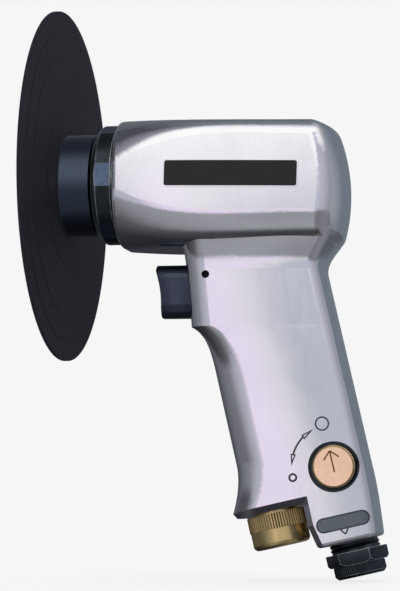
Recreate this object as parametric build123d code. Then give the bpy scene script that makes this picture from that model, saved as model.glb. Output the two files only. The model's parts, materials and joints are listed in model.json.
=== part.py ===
from build123d import *
import math
import os

# A pistol-grip air disc sander, in millimetres.
# X runs along the spindle, from the pad's working face at x = 0 to the rear of the motor.
# Z is up, and the side with the flow regulator faces -Y.

# Clearances
slip_fit = 0.05
running_fit = 0.08
free_gap = 0.4
stop_gap = 0.3
stop_room = 1.0
overrun = 1.0

# Pad, its hub and its nut
pad_radius = 63.5
pad_rim_thickness = 1.2
pad_ring_radii = (56.5, 47.4, 29.4)
pad_ring_step = 0.2
hub_radius = 18.5
hub_length = 14.2
hub_edge_round = 0.8
pad_recess_radius = 12.0
pad_recess_depth = 4.5
pad_nut_radius = 11.0
pad_nut_set_back = 0.8
pad_nut_chamfer = 0.6
pad_nut_pin_hole_radius = 1.2
pad_nut_pin_circle_radius = 8.0
insert_radius = 9.0
spindle_thread_radius = 4.7
spindle_end_set_back = 0.4
spacer_radius = 7.5

# Clamp nut that holds the motor in the barrel
collar_radius = 21.6
collar_across_flats = 42.4
collar_flat_count = 6
collar_flat_turn = 27.5
collar_length = 7.6
collar_chamfer = 2.0
collar_neck_radius = 20.4
collar_neck_length = 0.6
collar_thread_radius = 19.5
collar_skirt_length = 14.5
collar_skirt_bore = 14.5
seal_outer_radius = 11.0
seal_length = 4.0
seal_lip_thickness = 1.6

# Vane motor
motor_bore_radius = 17.0
plate_thickness = 10.0
plate_web = 2.4
cylinder_length = 36.0
cylinder_bore_radius = 13.2
cylinder_offset = 1.2
port_radius = 2.4
port_pitch = 6.5
inlet_port_count = 2
exhaust_port_count = 4
exhaust_port_turn = 55.0
washer_thickness = 1.2
washer_inner_radius = 12.5
dowel_radius = 1.2
dowel_circle_radius = 14.6
dowel_turn = 24.0
dowel_reach = 2.0
rotor_radius = 11.7
rotor_end_gap = 0.4
rotor_shoulder = 1.5
vane_count = 5
vane_thickness = 2.4
vane_depth = 5.8
vane_slot_floor = 0.4
front_journal_radius = 5.0
rear_journal_radius = 4.0

# Ball bearings
front_bearing_radius = 13.0
front_bearing_width = 7.6
front_ball_radius = 2.3
front_ball_count = 7
rear_bearing_radius = 11.0
rear_bearing_width = 7.0
rear_ball_radius = 1.9
rear_ball_count = 7
ball_clearance = 0.06
race_depth = 0.9

# Barrel of the cast housing: four sections, their tops and bottoms measured from the spindle axis
barrel_front_half_width = 23.2
barrel_front_top = 22.1
barrel_front_bottom = 23.9
barrel_front_top_corner = 18.0
barrel_front_bottom_corner = 20.5
barrel_middle_reach = 22.8
barrel_middle_half_width = 25.0
barrel_middle_top = 20.3
barrel_middle_bottom = 24.2
barrel_middle_top_corner = 8.0
barrel_middle_bottom_corner = 12.5
barrel_waist_reach = 48.8
barrel_waist_half_width = 25.1
barrel_waist_top = 19.3
barrel_waist_bottom = 24.2
barrel_waist_top_corner = 5.5
barrel_waist_bottom_corner = 11.0
barrel_rear_half_width = 24.7
barrel_rear_top = 18.7
barrel_rear_bottom = 23.9
barrel_rear_top_corner = 6.0
barrel_rear_bottom_corner = 10.0
barrel_front_round = 2.2
rear_wall = 10.4
rear_dome_radius = 62.0
rear_dome_drop = 5.0
rear_edge_round = 5.5

# Pistol grip of the cast housing
grip_tilt = 13.0
grip_front = 42.3
grip_depth = 46.4
grip_half_width = 18.0
grip_side_crown = 0.9
grip_rear_corner = 3.6
grip_rear_crown = 1.3

# Sections down the grip: drop below the spindle axis, reach in front of the straight strap,
# heel behind it, flare at each side, and corner radius at the front
grip_root_sections = (
    (18.5, 0.9, 8.0, 5.1, 8.5),
    (21.0, 1.0, 7.6, 3.1, 8.5),
    (24.0, 1.2, 5.2, 1.4, 8.5),
    (28.0, 1.5, 1.8, 0.3, 8.5),
)
grip_throat_section = (33.0, 2.1, 0.0, 0.0, 8.5)
grip_nib_section = (52.8, 4.7, 0.0, 0.0, 8.5)
grip_hook_sections = (
    (54.4, 2.7, 0.0, 0.0, 9.2),
    (57.4, 1.1, 0.0, 0.0, 10.0),
    (62.5, 0.3, 0.0, 0.0, 11.2),
)
grip_strap_top_section = (69.0, 0.2, 0.0, 0.0, 12.0)
grip_strap_end_section = (100.0, 0.2, 0.0, 0.0, 12.0)
grip_foot_sections = (
    (106.0, 0.6, 0.0, 0.0, 11.3),
    (112.0, 2.2, -0.3, 0.0, 10.2),
    (118.0, 4.7, -0.8, 0.0, 9.0),
    (134.0, 12.0, -2.0, 0.0, 7.0),
)

# Underside of the grip, measured from the exhaust axis and square to the grip
exhaust_foot_x = 77.7
exhaust_foot_drop = 115.1
inlet_spacing = 24.8
boss_height = 18.4
boss_wall_offset = 14.5
boss_taper_height = 8.0
boss_taper = 1.7
boss_edge_round = 1.4
foot_lip = 2.2

# Trigger, its pin and its plunger
trigger_drop = 39.2
trigger_height = 19.0
trigger_width = 13.0
trigger_corner = 5.0
trigger_front = 35.7
trigger_hollow = 1.8
trigger_lip = 2.2
trigger_rear = 50.0
trigger_travel = 4.0
pocket_gap = 0.35
stem_radius = 5.5
stem_length = 16.0
plunger_radius = 2.5
bush_length = 6.0
plunger_seal_section = 0.85
plunger_seal_depth = 1.9
pin_x = 56.0
pin_drop = 34.7
pin_radius = 1.35
pin_recess = 2.0
vent_drop = 61.0
vent_radius = 1.2
vent_depth = 6.0

# Throttle valve, seat and spring on the inlet axis
inlet_bore_radius = 7.2
plunger_above_seat = 20.2
seat_thickness = 3.0
seat_bore_radius = 4.6
valve_head_radius = 5.9
valve_head_thickness = 3.0
valve_stem_radius = 1.5
valve_stem_length = 24.0
valve_seat_gap = 0.1
stem_chamber_radius = 6.6
stem_chamber_length = 27.0
air_duct_radius = 4.5
spring_radius = 4.6
spring_wire = 0.45
spring_turns = 6
spring_ring_height = 27.0
spring_ring_thickness = 1.5
spring_ring_bore = 3.6

# Flow regulator
regulator_offset = 1.1
regulator_height = 7.7
regulator_bore_radius = 8.7
regulator_bore_chamfer = 0.3
regulator_depth = 29.5
regulator_port_radius = 4.6
regulator_shoulder_depth = 3.4
regulator_knob_radius = 7.4
regulator_knob_chamfer = 0.6
regulator_knob_proud = 1.9
regulator_ring_thickness = 1.0
regulator_ring_groove = 0.5
regulator_seal_section = 0.8
regulator_seal_depth = 7.5
regulator_plug_floor = 0.6

# Air inlet bushing
bushing_thread_radius = 7.6
bushing_thread_length = 14.0
bushing_neck_radius = 8.4
bushing_neck = 3.3
bushing_hex = 19.05
bushing_hex_height = 4.5
bushing_hex_chamfer = 1.0
bushing_end_radius = 9.0
bushing_end_length = 4.4
bushing_end_chamfer = 1.0
bushing_bore_radius = 5.6
bushing_bore_depth = 15.0
bushing_air_radius = 4.0
screen_radius = 6.5
screen_thickness = 0.8
screen_hole_radius = 0.7
screen_inner_circle = 1.6
screen_inner_count = 5
screen_outer_circle = 3.2
screen_outer_count = 10

# Exhaust deflector
deflector_radius = 10.15
deflector_length = 12.0
deflector_cavity_radius = 8.2
deflector_top = 2.0
deflector_edge_round = 1.8
deflector_neck_radius = 7.6
deflector_neck_length = 8.0
deflector_neck_bore = 5.4
deflector_groove_depth = 0.9
deflector_ring_thickness = 1.0
deflector_ring_height = 4.0
deflector_ring_bite = 0.6
exhaust_bore_depth = 16.0
muffler_set_back = 1.2
muffler_room = 1.6
ring_mouth = 1.6

# Positions along the spindle that follow from the sizes above
collar_front = hub_length + free_gap
barrel_front = collar_front + collar_length + collar_neck_length
front_plate_x = barrel_front + collar_skirt_length
cylinder_x = front_plate_x + plate_thickness
rear_plate_x = cylinder_x + cylinder_length
washer_x = rear_plate_x + plate_thickness
bore_end_x = washer_x + washer_thickness
barrel_rear = bore_end_x + rear_wall
rear_bearing_x = rear_plate_x + plate_web

# Directions of the grip
tilt = math.radians(grip_tilt)
grip_rearward = (math.cos(tilt), 0, math.sin(tilt))
grip_upward = (-math.sin(tilt), 0, math.cos(tilt))
grip_side = Plane(origin=(exhaust_foot_x, 0, -exhaust_foot_drop), x_dir=grip_rearward, z_dir=(0, -1, 0))
regulator_q = inlet_spacing + regulator_offset

# Where the plunger meets the valve stem, and the seat below it, as heights up the inlet axis
contact_height = (exhaust_foot_drop - trigger_drop - inlet_spacing * math.sin(tilt)) / math.cos(tilt)
contact_x = grip_side.from_local_coords((inlet_spacing, contact_height, 0)).X
plunger_tip_x = contact_x - (plunger_radius + valve_stem_radius + stop_gap) / math.cos(tilt)
seat_height = contact_height - plunger_above_seat

# Height of the deflector's upper face, just below the bevelled flat of the grip
deflector_face = -foot_lip - free_gap


def turned(points):
    """A solid of revolution about the spindle axis from (x, radius) points."""
    return revolve(make_face(Polyline(points, close=True)), Axis.X)


def tube(start, end, outer, inner):
    """A plain sleeve about the spindle axis."""
    return turned([(start, inner), (end, inner), (end, outer), (start, outer)])


def bar(start, end, radius):
    """A round bar on the spindle axis."""
    return extrude(Plane(origin=(start, 0, 0), z_dir=(1, 0, 0)) * Circle(radius), end - start)


def across_grip(spacing, height):
    """The plane square to the grip's length, at a point on the line of the fittings."""
    return Plane(
        origin=grip_side.from_local_coords((spacing, height, 0)),
        x_dir=grip_rearward,
        z_dir=grip_upward,
    )


def grip_rod(spacing, start, end, radius):
    """A round bar along the grip, between two heights."""
    return extrude(across_grip(spacing, start) * Circle(radius), end - start)


def grip_turned(spacing, points):
    """A solid of revolution about an axis along the grip, from (radius, height) points."""
    profile = Plane.XZ * make_face(Polyline(points, close=True))
    return across_grip(spacing, 0).location * revolve(profile, Axis.Z)


def side_rod(height, spacing, start, end, radius):
    """A round bar across the grip, between two distances from the middle towards -Y."""
    return extrude(grip_side.offset(start) * Pos(spacing, height) * Circle(radius), end - start)


def ring_of(count, radius, turn=0.0):
    """Turns and offsets of features spread evenly on a circle about the spindle."""
    return [Rot(turn + 360 * i / count, 0, 0) * Pos(0, 0, radius) for i in range(count)]


# Cast housing


def barrel_section(x, half_width, top, bottom, top_corner, bottom_corner):
    """A section of the barrel square to the spindle, with its own corners above and below."""
    outline = Pos(0, (top - bottom) / 2) * Rectangle(2 * half_width, top + bottom)
    outline = fillet(outline.vertices().sort_by(Axis.Y)[:2], bottom_corner)
    outline = fillet(outline.vertices().sort_by(Axis.Y)[-2:], top_corner)
    return Plane(origin=(x, 0, 0), x_dir=(0, 1, 0), z_dir=(1, 0, 0)) * outline


def barrel():
    """The motor barrel: nearly round at the front, flat-sided towards the domed rear."""
    body = loft(
        [
            barrel_section(
                barrel_front,
                barrel_front_half_width,
                barrel_front_top,
                barrel_front_bottom,
                barrel_front_top_corner,
                barrel_front_bottom_corner,
            ),
            barrel_section(
                barrel_front + barrel_middle_reach,
                barrel_middle_half_width,
                barrel_middle_top,
                barrel_middle_bottom,
                barrel_middle_top_corner,
                barrel_middle_bottom_corner,
            ),
            barrel_section(
                barrel_front + barrel_waist_reach,
                barrel_waist_half_width,
                barrel_waist_top,
                barrel_waist_bottom,
                barrel_waist_top_corner,
                barrel_waist_bottom_corner,
            ),
            barrel_section(
                barrel_rear,
                barrel_rear_half_width,
                barrel_rear_top,
                barrel_rear_bottom,
                barrel_rear_top_corner,
                barrel_rear_bottom_corner,
            ),
        ]
    )
    dome = Pos(barrel_rear - rear_dome_radius, 0, -rear_dome_drop) * Sphere(rear_dome_radius)
    body = body & dome
    rear_face = body.faces().filter_by(GeomType.SPHERE)
    body = fillet(rear_face.edges(), rear_edge_round)
    front_face = body.faces().sort_by(Axis.X)[0]
    return fillet(front_face.edges(), barrel_front_round)


def grip_section(drop, reach, heel, flare, front_corner):
    """A level section of the grip: reach and heel stand out from its straight front and rear."""
    lean = drop * math.tan(tilt)
    front = grip_front + lean - reach
    rear = grip_front + grip_depth + lean + heel
    widest = grip_half_width + flare
    edge = widest - grip_side_crown
    rear_corner = rear - grip_rear_crown
    middle = (front + rear_corner) / 2
    outline = Curve() + [
        Line((front, edge), (front, -edge)),
        ThreePointArc((front, -edge), (middle, -widest), (rear_corner, -edge)),
        ThreePointArc((rear_corner, -edge), (rear, 0), (rear_corner, edge)),
        ThreePointArc((rear_corner, edge), (middle, widest), (front, edge)),
    ]
    face = make_face(outline)
    face = fillet(face.vertices().sort_by(Axis.X)[:2], front_corner)
    face = fillet(face.vertices().sort_by(Axis.X)[-2:], grip_rear_corner)
    return Plane(origin=(0, 0, -drop)) * face


def grip():
    """The pistol grip: it flares into the barrel, has a nib under the trigger and a flared foot."""
    throat = grip_section(*grip_throat_section)
    nib = grip_section(*grip_nib_section)
    strap_top = grip_section(*grip_strap_top_section)
    strap_end = grip_section(*grip_strap_end_section)
    root = [grip_section(*row) for row in grip_root_sections]
    hook = [grip_section(*row) for row in grip_hook_sections]
    foot = [grip_section(*row) for row in grip_foot_sections]
    body = loft(root + [throat]) + loft([throat, nib], ruled=True)
    body += loft([nib] + hook + [strap_top])
    return body + loft([strap_top, strap_end], ruled=True) + loft([strap_end] + foot)


def underside_cut():
    """What is taken away below the grip: a flat for the exhaust and a boss for the inlet."""
    beyond = 2 * grip_depth
    wall = boss_wall_offset - foot_lip
    profile = Polyline(
        (-beyond, -foot_lip),
        (wall, -foot_lip),
        (wall, boss_taper_height - boss_height),
        (wall + boss_taper, -boss_height),
        (beyond, -boss_height),
        (beyond, -beyond),
        (-beyond, -beyond),
        close=True,
    )
    return extrude(grip_side * make_face(profile), 2 * grip_half_width, both=True)


def handle():
    """The grip cut to length: a bevelled lip round the exhaust flat, rounded edges on the inlet boss."""
    block = underside_cut()
    body = grip() - block
    along_grip = Axis((0, 0, 0), grip_upward)
    cut_faces = body.faces().filter_by(lambda face: block.distance_to(face.center()) < slip_fit)
    lip = cut_faces.sort_by(along_grip)[1:].edges().filter_by(Axis.Y, reverse=True)
    body = chamfer(lip, foot_lip)
    boss_face = body.faces().sort_by(along_grip)[0]
    return fillet(boss_face.edges(), boss_edge_round)


def trigger_block(gap, start, end):
    """The trigger's rounded rectangular bar, or with a gap the pocket that it slides in."""
    plane = Plane(origin=(start, 0, -trigger_drop), x_dir=(0, 1, 0), z_dir=(1, 0, 0))
    outline = RectangleRounded(trigger_width + 2 * gap, trigger_height + 2 * gap, trigger_corner + gap)
    return extrude(plane * outline, end - start)


def trigger_bar(start, end, radius):
    """A round bar on the trigger's axis."""
    return Pos(0, 0, -trigger_drop) * bar(start, end, radius)


pocket_end = trigger_rear + trigger_travel + stop_room
stem_end = trigger_rear + stem_length
bush_front = stem_end + trigger_travel + stop_room
bush_rear = bush_front + bush_length
stem_bore_radius = stem_radius + stop_gap


def motor_housing():
    body = barrel() + handle()
    body -= bar(barrel_front, front_plate_x, collar_thread_radius)
    body -= bar(front_plate_x, bore_end_x, motor_bore_radius)
    body -= trigger_block(pocket_gap, trigger_front, pocket_end)
    body -= trigger_bar(pocket_end, bush_rear, stem_bore_radius)
    body -= trigger_bar(bush_rear, bush_rear + stem_chamber_radius, plunger_radius + stop_gap)
    body -= Pos(pin_x, 0, -pin_drop) * Rot(90, 0, 0) * Cylinder(pin_radius + slip_fit, 4 * grip_half_width)
    thread_top = bushing_thread_length - boss_height
    body -= grip_rod(inlet_spacing, -boss_height - overrun, thread_top, bushing_thread_radius)
    body -= grip_rod(inlet_spacing, thread_top, seat_height + seat_thickness, inlet_bore_radius)
    chamber_start = seat_height + seat_thickness
    chamber_end = chamber_start + stem_chamber_length
    body -= grip_rod(inlet_spacing, chamber_start, chamber_end, stem_chamber_radius)
    body -= grip_rod(inlet_spacing, chamber_end, chamber_end + motor_bore_radius, air_duct_radius)
    body -= side_rod(
        regulator_height,
        regulator_q,
        grip_half_width - regulator_depth,
        grip_half_width + overrun,
        regulator_bore_radius,
    )
    mouth = grip_side.offset(grip_half_width) * Pos(regulator_q, regulator_height)
    flare = 2 * regulator_bore_chamfer
    body -= mouth * Cone(regulator_bore_radius, regulator_bore_radius + flare, flare)
    groove_start = grip_half_width - regulator_shoulder_depth + stop_gap
    body -= side_rod(
        regulator_height,
        regulator_q,
        groove_start - slip_fit,
        groove_start + regulator_ring_thickness + slip_fit,
        regulator_bore_radius + regulator_ring_groove,
    )
    body -= grip_rod(0, -foot_lip - overrun, exhaust_bore_depth, deflector_neck_radius + free_gap)
    body -= deflector_ring_groove()
    vent = Plane(origin=(grip_front, 0, -vent_drop), z_dir=(1, 0, 0)) * Circle(vent_radius)
    vent_end = vent_drop * math.tan(tilt) + vent_depth
    body -= extrude(vent, vent_end)
    return body


def deflector_ring_groove():
    radius = deflector_neck_radius + free_gap + deflector_ring_bite + slip_fit
    low = deflector_ring_height - slip_fit
    high = deflector_ring_height + deflector_ring_thickness + slip_fit
    return grip_rod(0, low, high, radius)


# Motor and spindle


def race_groove(x, pitch, ball):
    return Pos(x, 0, 0) * Rot(0, 90, 0) * Torus(pitch, ball + ball_clearance)


def bearing(start, width, journal, outer, ball, count):
    """The outer race, inner race and balls of a ball bearing."""
    pitch = (journal + outer) / 2
    middle = start + width / 2
    groove = race_groove(middle, pitch, ball)
    outer_race = tube(start, start + width, outer, pitch + ball - race_depth) - groove
    inner_race = tube(start, start + width, pitch - ball + race_depth, journal + slip_fit) - groove
    balls = [Pos(middle, 0, 0) * place * Sphere(ball) for place in ring_of(count, pitch)]
    return outer_race, inner_race, Compound(balls)


def clamp_nut():
    """Threads into the barrel, holds the motor and carries the spindle seal."""
    seal_front = collar_front + seal_lip_thickness
    seal_rear = seal_front + seal_length
    collar_rear = collar_front + collar_length
    body = turned(
        [
            (collar_front, spacer_radius + free_gap),
            (seal_front, spacer_radius + free_gap),
            (seal_front, seal_outer_radius),
            (seal_rear, seal_outer_radius),
            (seal_rear, collar_skirt_bore),
            (front_plate_x, collar_skirt_bore),
            (front_plate_x, collar_thread_radius - slip_fit),
            (barrel_front, collar_thread_radius - slip_fit),
            (barrel_front, collar_neck_radius),
            (collar_rear, collar_neck_radius),
            (collar_rear, collar_radius),
            (collar_front + collar_chamfer, collar_radius),
            (collar_front, collar_radius - collar_chamfer),
        ]
    )
    for place in ring_of(collar_flat_count, collar_across_flats / 2 + collar_radius, collar_flat_turn):
        middle = Pos(collar_front + collar_length / 2, 0, 0)
        body -= middle * place * Box(collar_length, 2 * collar_radius, 2 * collar_radius)
    return body


def spindle_seal():
    start = collar_front + seal_lip_thickness
    return tube(start, start + seal_length, seal_outer_radius - slip_fit, spacer_radius + running_fit)


def dowel_at(start, end, radius):
    return Rot(180 + dowel_turn, 0, 0) * Pos(0, 0, dowel_circle_radius) * bar(start, end, radius)


def dowel_hole():
    return dowel_at(cylinder_x - dowel_reach, rear_plate_x + dowel_reach, dowel_radius + slip_fit)


def cylinder_dowel():
    return dowel_at(
        cylinder_x - dowel_reach + slip_fit, rear_plate_x + dowel_reach - slip_fit, dowel_radius
    )


def front_end_plate():
    bearing_rear = front_plate_x + front_bearing_width
    shoulder_bore = front_journal_radius + rotor_shoulder + free_gap
    body = turned(
        [
            (front_plate_x, front_bearing_radius + slip_fit),
            (bearing_rear, front_bearing_radius + slip_fit),
            (bearing_rear, shoulder_bore),
            (cylinder_x, shoulder_bore),
            (cylinder_x, motor_bore_radius - slip_fit),
            (front_plate_x, motor_bore_radius - slip_fit),
        ]
    )
    return body - dowel_hole()


def rear_end_plate():
    shoulder_bore = rear_journal_radius + rotor_shoulder + free_gap
    body = turned(
        [
            (rear_plate_x, shoulder_bore),
            (rear_bearing_x, shoulder_bore),
            (rear_bearing_x, rear_bearing_radius + slip_fit),
            (washer_x, rear_bearing_radius + slip_fit),
            (washer_x, motor_bore_radius - slip_fit),
            (rear_plate_x, motor_bore_radius - slip_fit),
        ]
    )
    return body - dowel_hole()


def cylinder():
    """The motor's liner: its bore is off centre, with inlet ports below and exhaust ports at a side."""
    body = bar(cylinder_x, rear_plate_x, motor_bore_radius - slip_fit)
    body -= Pos(0, 0, cylinder_offset) * bar(cylinder_x, rear_plate_x, cylinder_bore_radius)
    body -= dowel_hole()
    port = Cylinder(port_radius, motor_bore_radius, align=(Align.CENTER, Align.CENTER, Align.MIN))
    for i in range(inlet_port_count):
        body -= Pos(rear_plate_x - (i + 0.5) * port_pitch, 0, 0) * Rot(180, 0, 0) * port
    for i in range(exhaust_port_count):
        body -= Pos(cylinder_x + (i + 1) * port_pitch, 0, 0) * Rot(exhaust_port_turn, 0, 0) * port
    return body


def spring_washer():
    return tube(washer_x, bore_end_x, motor_bore_radius - slip_fit, washer_inner_radius)


rotor_start = cylinder_x + rotor_end_gap
rotor_end = rear_plate_x - rotor_end_gap


def vane_bar(thickness, depth, length, outer):
    """A flat bar along the rotor whose outer edge lies at a given radius."""
    middle = (rotor_start + rotor_end) / 2
    return Pos(middle, 0, outer - depth / 2) * Box(length, thickness, depth)


def rotor_shaft():
    """The slotted rotor with its journals and the threaded end that carries the pad."""
    tip = pad_nut_set_back + spindle_end_set_back
    front_bearing_end = front_plate_x + front_bearing_width
    rear_bearing_end = rear_bearing_x + rear_bearing_width
    front_shoulder = front_journal_radius + rotor_shoulder
    rear_shoulder = rear_journal_radius + rotor_shoulder
    body = turned(
        [
            (tip, 0),
            (tip, spindle_thread_radius),
            (hub_length, spindle_thread_radius),
            (hub_length, front_journal_radius),
            (front_bearing_end, front_journal_radius),
            (front_bearing_end, front_shoulder),
            (rotor_start, front_shoulder),
            (rotor_start, rotor_radius),
            (rotor_end, rotor_radius),
            (rotor_end, rear_shoulder),
            (rear_bearing_x, rear_shoulder),
            (rear_bearing_x, rear_journal_radius),
            (rear_bearing_end, rear_journal_radius),
            (rear_bearing_end, 0),
        ]
    )
    depth = vane_depth + vane_slot_floor + overrun
    slot = vane_bar(vane_thickness + 2 * slip_fit, depth, rotor_end - rotor_start, rotor_radius + overrun)
    for i in range(vane_count):
        body -= Rot(360 * i / vane_count, 0, 0) * slot
    return body


def rotor_vanes():
    vane = vane_bar(vane_thickness, vane_depth, rotor_end - rotor_start, rotor_radius)
    return Compound([Rot(360 * i / vane_count, 0, 0) * vane for i in range(vane_count)])


def arbor_spacer():
    return tube(hub_length, front_plate_x, spacer_radius, front_journal_radius + slip_fit)


def sanding_pad():
    """A flexible disc, thicker ring by ring towards its moulded hub, with a recess for the nut."""
    thickness = pad_rim_thickness
    profile = [(0, pad_recess_radius), (0, pad_radius), (thickness, pad_radius)]
    for radius in pad_ring_radii:
        profile.append((thickness, radius))
        thickness += pad_ring_step
        profile.append((thickness, radius))
    profile += [
        (thickness, hub_radius),
        (hub_length - hub_edge_round, hub_radius),
        (hub_length, hub_radius - hub_edge_round),
        (hub_length, insert_radius + slip_fit),
        (pad_recess_depth, insert_radius + slip_fit),
        (pad_recess_depth, pad_recess_radius),
    ]
    return turned(profile)


def pad_insert():
    return tube(pad_recess_depth, hub_length, insert_radius, spindle_thread_radius + slip_fit)


def pad_nut():
    bore = spindle_thread_radius + slip_fit
    body = turned(
        [
            (pad_nut_set_back, bore),
            (pad_recess_depth, bore),
            (pad_recess_depth, pad_nut_radius),
            (pad_nut_set_back + pad_nut_chamfer, pad_nut_radius),
            (pad_nut_set_back, pad_nut_radius - pad_nut_chamfer),
        ]
    )
    for place in ring_of(2, pad_nut_pin_circle_radius):
        body -= place * bar(pad_nut_set_back, pad_recess_depth, pad_nut_pin_hole_radius)
    return body


# Trigger and throttle

def trigger():
    """The finger piece with a hollow front, its guide stem and the plunger that tips the valve."""
    top = trigger_height / 2 - trigger_drop
    bottom = -trigger_height / 2 - trigger_drop
    hollow_top = top - trigger_lip
    outline = Curve() + [
        Line((trigger_front, hollow_top), (trigger_front, top)),
        Line((trigger_front, top), (trigger_rear, top)),
        Line((trigger_rear, top), (trigger_rear, bottom)),
        Line((trigger_rear, bottom), (trigger_front + trigger_hollow, bottom)),
        ThreePointArc(
            (trigger_front + trigger_hollow, bottom),
            (trigger_front + trigger_hollow, (top + bottom) / 2),
            (trigger_front, hollow_top),
        ),
    ]
    side = extrude(Plane.XZ * make_face(outline), trigger_width, both=True)
    body = trigger_block(0, trigger_front, trigger_rear) & side
    body += trigger_bar(trigger_rear, stem_end, stem_radius)
    notch_front = pin_x - pin_radius - trigger_travel - stop_gap
    notch_rear = pin_x + pin_radius + stop_gap
    notch_floor = -pin_drop - pin_radius - stop_gap
    notch = Box(notch_rear - notch_front, 2 * stem_radius, stem_radius)
    body -= Pos((notch_front + notch_rear) / 2, 0, notch_floor + stem_radius / 2) * notch
    body += trigger_bar(stem_end, plunger_tip_x, plunger_radius)
    return body + Pos(plunger_tip_x, 0, -trigger_drop) * Sphere(plunger_radius)


def trigger_pin():
    return Pos(pin_x, 0, -pin_drop) * Rot(90, 0, 0) * Cylinder(pin_radius, 2 * (grip_half_width - pin_recess))


def plunger_bush():
    body = trigger_bar(bush_front, bush_rear, stem_bore_radius - slip_fit)
    body -= trigger_bar(bush_front, bush_rear, plunger_radius + running_fit)
    seat = plunger_radius + 2 * plunger_seal_section + 2 * slip_fit
    return body - trigger_bar(bush_rear - plunger_seal_depth, bush_rear, seat)


def plunger_seal():
    ring = Rot(0, 90, 0) * Torus(plunger_radius + plunger_seal_section + slip_fit, plunger_seal_section)
    return Pos(bush_rear - plunger_seal_depth / 2, 0, -trigger_drop) * ring


def throttle_seat():
    body = grip_rod(inlet_spacing, seat_height, seat_height + seat_thickness, inlet_bore_radius - slip_fit)
    return body - grip_rod(inlet_spacing, seat_height, seat_height + seat_thickness, seat_bore_radius)


valve_top = seat_height - valve_seat_gap
valve_bottom = valve_top - valve_head_thickness


def throttle_valve():
    """A tipping valve: a flat head under the seat and a stem that the plunger pushes over."""
    stem_top = valve_top + valve_stem_length
    return grip_turned(
        inlet_spacing,
        [
            (0, valve_bottom),
            (valve_head_radius, valve_bottom),
            (valve_head_radius, valve_top),
            (valve_stem_radius, valve_top),
            (valve_stem_radius, stem_top),
            (0, stem_top),
        ],
    )


def spring_ring():
    top = spring_ring_height + spring_ring_thickness
    body = grip_rod(inlet_spacing, spring_ring_height, top, inlet_bore_radius - slip_fit)
    return body - grip_rod(inlet_spacing, spring_ring_height, top, spring_ring_bore)


def throttle_spring():
    """A coil of quarter-turn arcs between the spring ring and the valve head."""
    start = spring_ring_height + spring_ring_thickness + spring_wire + slip_fit
    end = valve_bottom - spring_wire - slip_fit
    steps = 4 * spring_turns

    def on_coil(step):
        angle = math.pi / 2 * step
        height = start + (end - start) * step / steps
        return (spring_radius * math.cos(angle), spring_radius * math.sin(angle), height)

    arcs = [ThreePointArc(on_coil(i), on_coil(i + 0.5), on_coil(i + 1)) for i in range(steps)]
    path = Wire(arcs)
    section = Plane(origin=path @ 0, z_dir=path % 0) * Circle(spring_wire)
    return across_grip(inlet_spacing, 0).location * sweep(section, path)


def regulator_valve():
    """A turning plug with a cross port, a seal groove and a round face that stands proud."""
    floor = grip_half_width - regulator_depth + regulator_plug_floor
    shoulder = grip_half_width - regulator_shoulder_depth
    face = grip_half_width + regulator_knob_proud
    body = side_rod(regulator_height, regulator_q, floor, shoulder, regulator_bore_radius - running_fit)
    knob = side_rod(regulator_height, regulator_q, shoulder, face, regulator_knob_radius)
    body += chamfer(knob.edges().sort_by(Axis.Y)[0], regulator_knob_chamfer)
    seal = grip_half_width - regulator_seal_depth
    half = regulator_seal_section + slip_fit
    groove = side_rod(regulator_height, regulator_q, seal - half, seal + half, regulator_bore_radius)
    core = regulator_bore_radius - 2 * (regulator_seal_section + slip_fit)
    body -= groove - side_rod(regulator_height, regulator_q, seal - half, seal + half, core)
    low = regulator_height - 2 * regulator_bore_radius
    high = regulator_height + 2 * regulator_bore_radius
    return body - grip_rod(inlet_spacing, low, high, regulator_port_radius)


def regulator_seal():
    place = grip_side.offset(grip_half_width - regulator_seal_depth) * Pos(regulator_q, regulator_height)
    return place * Torus(regulator_bore_radius - regulator_seal_section - slip_fit, regulator_seal_section)


def split_ring(plane, thickness, outer, inner):
    """A retaining ring with a gap, lying on a plane."""
    mouth = Pos(outer, 0) * Rectangle(2 * outer, ring_mouth)
    outline = Circle(outer) - Circle(inner) - mouth
    return extrude(plane * outline, thickness)


def regulator_ring():
    start = grip_half_width - regulator_shoulder_depth + stop_gap
    plane = grip_side.offset(start) * Pos(regulator_q, regulator_height)
    outer = regulator_bore_radius + regulator_ring_groove - slip_fit
    return split_ring(Plane(plane), regulator_ring_thickness, outer, regulator_knob_radius + free_gap)


# Inlet and exhaust fittings


def inlet_bushing():
    """A threaded bushing with a hexagon, a knurled end and the bore for the hose fitting."""
    top = bushing_thread_length - boss_height
    hex_top = -boss_height - bushing_neck
    hex_bottom = hex_top - bushing_hex_height
    bottom = hex_bottom - bushing_end_length
    bore_top = bottom + bushing_bore_depth
    screen_floor = top - screen_thickness
    thread = bushing_thread_radius - slip_fit
    body = grip_rod(inlet_spacing, -boss_height, top, thread)
    body += grip_rod(inlet_spacing, hex_top, -boss_height, bushing_neck_radius)
    corner_radius = bushing_hex / math.sqrt(3)
    hexagon = RegularPolygon(corner_radius, 6)
    nut = extrude(across_grip(inlet_spacing, hex_bottom) * hexagon, bushing_hex_height)
    cone_foot = corner_radius - bushing_hex_chamfer
    rounding = grip_turned(
        inlet_spacing,
        [
            (0, hex_bottom),
            (cone_foot, hex_bottom),
            (corner_radius, hex_bottom + bushing_hex_chamfer),
            (corner_radius, hex_top),
            (0, hex_top),
        ],
    )
    end = grip_rod(inlet_spacing, bottom, hex_bottom, bushing_end_radius)
    lowest = end.edges().sort_by(Axis.Z)[0]
    body += (nut & rounding) + chamfer(lowest, bushing_end_chamfer)
    body -= grip_rod(inlet_spacing, bottom, bore_top, bushing_bore_radius)
    body -= grip_rod(inlet_spacing, bore_top, screen_floor, bushing_air_radius)
    return body - grip_rod(inlet_spacing, screen_floor, top, screen_radius)


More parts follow.
